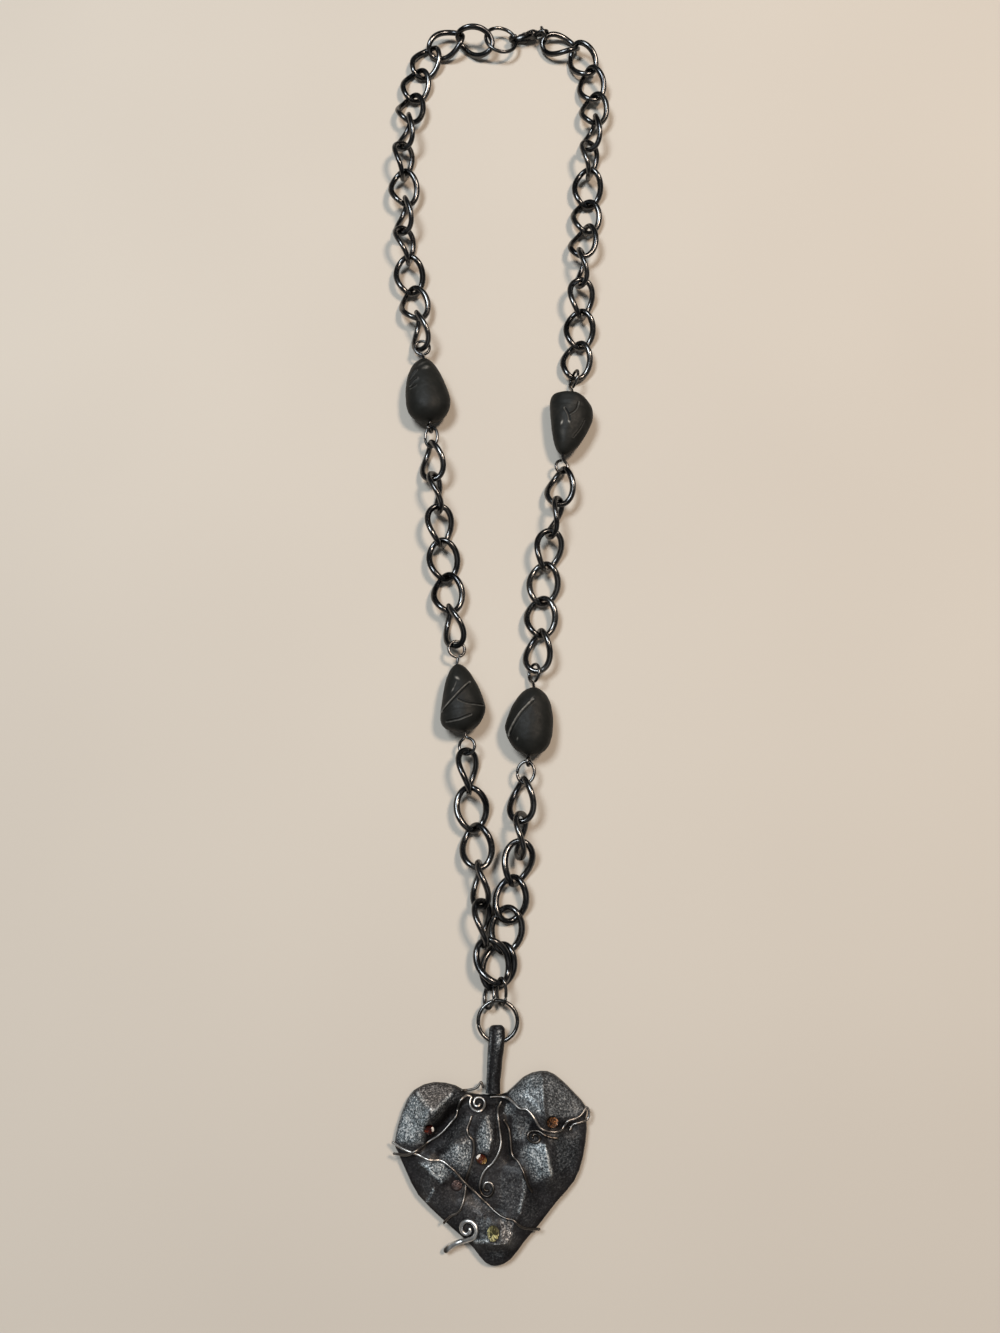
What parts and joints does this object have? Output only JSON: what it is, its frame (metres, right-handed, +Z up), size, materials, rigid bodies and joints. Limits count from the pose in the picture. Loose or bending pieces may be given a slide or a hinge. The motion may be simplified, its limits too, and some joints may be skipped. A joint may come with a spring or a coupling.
{
  "type": "heart pendant necklace",
  "caption": "Dark twisted-link chain with carved stone beads, a claw clasp and a sculpted heart pendant set with small coloured stones.",
  "frame": {"origin": "middle of the laid necklace, on the surface that it lies on", "axes": "+Y from the pendant towards the clasp, +X to the right with the heart's face up, +Z up, away from the surface"},
  "size_m": [0.0614, 0.3244, 0.0087],
  "materials": {
    "chain_metal": "satin",
    "wire_metal": "satin",
    "bead_stone": "satin",
    "sculpted_clay": "satin",
    "stone_red": "gloss",
    "stone_amber": "gloss",
    "stone_orange": "gloss",
    "stone_pink": "gloss",
    "stone_green": "gloss"
  },
  "bodies": {
    "root": {"chain_left_upper": "chain_metal", "chain_right_upper": "chain_metal", "chain_left_middle": "chain_metal", "chain_right_middle": "chain_metal", "chain_left_lower": "chain_metal", "chain_right_lower": "chain_metal", "bead_left_upper": "bead_stone", "bead_right_upper": "bead_stone", "bead_left_lower": "bead_stone", "bead_right_lower": "bead_stone", "pin_left_upper": "wire_metal", "pin_right_upper": "wire_metal", "pin_left_lower": "wire_metal", "pin_right_lower": "wire_metal", "jump_ring_left": "wire_metal", "jump_ring_right": "wire_metal", "clasp_ring": "wire_metal", "clasp_jump_ring": "wire_metal", "clasp_claw": "wire_metal", "pendant_ring": "wire_metal", "pendant_jump_ring_left": "wire_metal", "pendant_jump_ring_right": "wire_metal", "wire_diagonal": "wire_metal", "wire_left": "wire_metal", "wire_middle_left": "wire_metal", "wire_middle": "wire_metal", "wire_middle_right": "wire_metal", "wire_right": "wire_metal", "wire_right_curl": "wire_metal", "wire_spiral": "wire_metal", "wire_stem": "wire_metal", "bail_stem": "sculpted_clay", "heart": "sculpted_clay", "stone_left": "stone_red", "stone_middle": "stone_amber", "stone_right": "stone_orange", "stone_lower_left": "stone_pink", "stone_lower": "stone_green"},
    "lever": {"clasp_lever": "wire_metal"}
  },
  "joints": [
    {"name": "lever_hinge", "type": "hinge", "parent": "root", "child": "lever", "pos_m": [0.00902, 0.15982, 0.00282], "axis": [0.2022, -0.8758, -0.4384], "range_deg": [0, 20], "stiffness_Nm_per_rad": 0.001}
  ]
}
